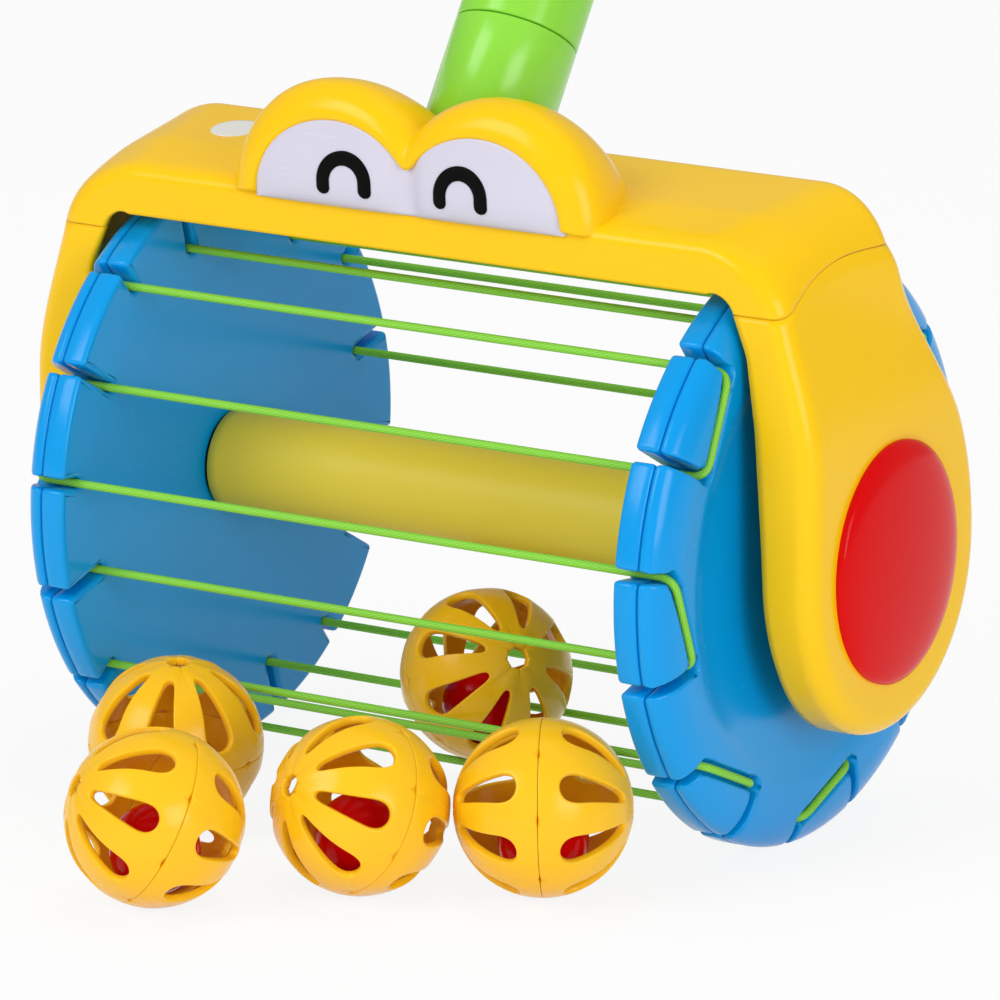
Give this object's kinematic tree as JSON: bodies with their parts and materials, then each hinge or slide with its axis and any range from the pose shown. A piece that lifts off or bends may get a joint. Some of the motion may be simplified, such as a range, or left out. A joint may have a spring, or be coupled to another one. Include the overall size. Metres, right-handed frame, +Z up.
{
  "type": "ball-collecting toy vacuum",
  "caption": "Push-along toy with a smiling yellow yoke on a leaning pole, a drum of notched wheels strung with elastic that picks up balls, and slotted rattle balls.",
  "frame": {"origin": "on the floor under the middle of the whole toy's box", "axes": "+X along the axle to the toy's left as seen from its face, -Y the way the face looks, +Z up"},
  "size_m": [0.2694, 0.3796, 0.5079],
  "materials": {
    "yellow_plastic": "glossy moulded",
    "ball_plastic": "glossy moulded",
    "blue_plastic": "glossy moulded",
    "red_plastic": "glossy moulded",
    "white_plastic": "glossy moulded",
    "green_plastic": "glossy moulded",
    "elastic": "matt covered elastic",
    "tube_plastic": "satin",
    "nylon": "satin",
    "steel": "drawn"
  },
  "bodies": {
    "yoke": {"top_shell": "yellow_plastic", "brow": "yellow_plastic", "eye_panel": "white_plastic", "left_arm": "yellow_plastic", "right_arm": "yellow_plastic", "left_bush": "nylon", "right_bush": "nylon", "left_hub_cap": "red_plastic", "right_hub_cap": "red_plastic", "pole_lower": "green_plastic", "pole_upper": "green_plastic", "grip": "yellow_plastic"},
    "drum": {"left_wheel_inner": "blue_plastic", "left_wheel_outer": "blue_plastic", "right_wheel_inner": "blue_plastic", "right_wheel_outer": "blue_plastic", "axle_tube": "tube_plastic", "axle_rod": "steel", "elastic_cord": "elastic"},
    "ball_1": {"ball_1_shell_a": "ball_plastic", "ball_1_shell_b": "ball_plastic", "ball_1_rattle": "red_plastic"},
    "ball_2": {"ball_2_shell_a": "ball_plastic", "ball_2_shell_b": "ball_plastic", "ball_2_rattle": "red_plastic"},
    "ball_3": {"ball_3_shell_a": "ball_plastic", "ball_3_shell_b": "ball_plastic", "ball_3_rattle": "red_plastic"},
    "ball_4": {"ball_4_shell_a": "ball_plastic", "ball_4_shell_b": "ball_plastic", "ball_4_rattle": "red_plastic"},
    "ball_5": {"ball_5_shell_a": "ball_plastic", "ball_5_shell_b": "ball_plastic", "ball_5_rattle": "red_plastic"}
  },
  "joints": [
    {"name": "drum_spin", "type": "hinge", "parent": "yoke", "child": "drum", "pos_m": [0, -0.01867, 0.0819], "axis": [1, 0, 0], "continuous": true},
    {"name": "ball_1_roll", "type": "slide", "parent": "yoke", "child": "ball_1", "axis": [0, -1, 0], "range_m": [0, 0.06]},
    {"name": "ball_2_roll", "type": "slide", "parent": "yoke", "child": "ball_2", "axis": [-0.7071, -0.7071, 0], "range_m": [0, 0.06]},
    {"name": "ball_3_roll", "type": "slide", "parent": "yoke", "child": "ball_3", "axis": [0.6, -0.8, 0], "range_m": [0, 0.06]},
    {"name": "ball_4_roll", "type": "slide", "parent": "yoke", "child": "ball_4", "axis": [0.7071, -0.7071, 0], "range_m": [0, 0.06]},
    {"name": "ball_5_tumble", "type": "slide", "parent": "drum", "child": "ball_5", "axis": [0, 0.108, 0.9942], "range_m": [0, 0.009]}
  ]
}
